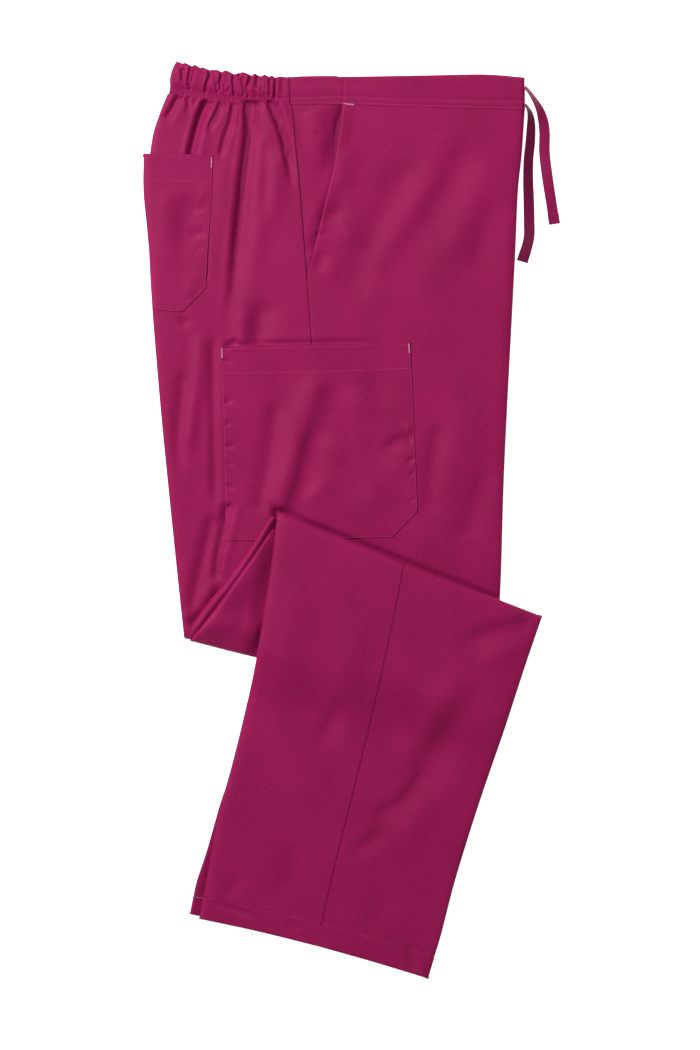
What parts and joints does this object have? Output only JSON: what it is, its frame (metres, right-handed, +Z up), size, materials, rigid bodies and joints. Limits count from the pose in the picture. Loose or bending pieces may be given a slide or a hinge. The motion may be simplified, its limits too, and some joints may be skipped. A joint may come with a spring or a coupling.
{
  "type": "medical scrub trousers, folded",
  "caption": "Woven cargo trousers for medical wear, folded lengthwise and in a Z at the knee, lying flat with drawstring ends free.",
  "frame": {"origin": "on the ground under the middle of the folded bundle, drawstring ends left out", "axes": "+Z up from the ground, +Y towards the waistband, +X towards the front fold with the seat edge at -X"},
  "size_m": [0.4038, 0.8884, 0.0165],
  "materials": {
    "twill": "fine plain-dyed poplin twill with a faint sheen, raspberry",
    "hidden_layers": "the same cloth, folded layers",
    "tape": "flat self-colour drawstring tape"
  },
  "bodies": {
    "root": {"waistband_back": "twill", "waistband_front": "twill", "waistband_under": "twill", "thigh_back": "twill", "thigh_front": "twill", "side_pocket_facing": "twill", "back_pocket": "twill", "back_pocket_hem": "twill", "cargo_pocket": "twill", "cargo_pocket_hem": "twill", "hips_under": "hidden_layers", "knee_fold_lower": "twill", "knee_fold_upper": "twill", "leg_under": "hidden_layers", "lower_leg_back": "twill", "lower_leg_front": "twill", "hem_back": "twill", "hem_front": "twill", "under_leg": "twill", "under_hem": "twill", "drawstring_a": "tape", "drawstring_b": "tape"}
  },
  "joints": []
}
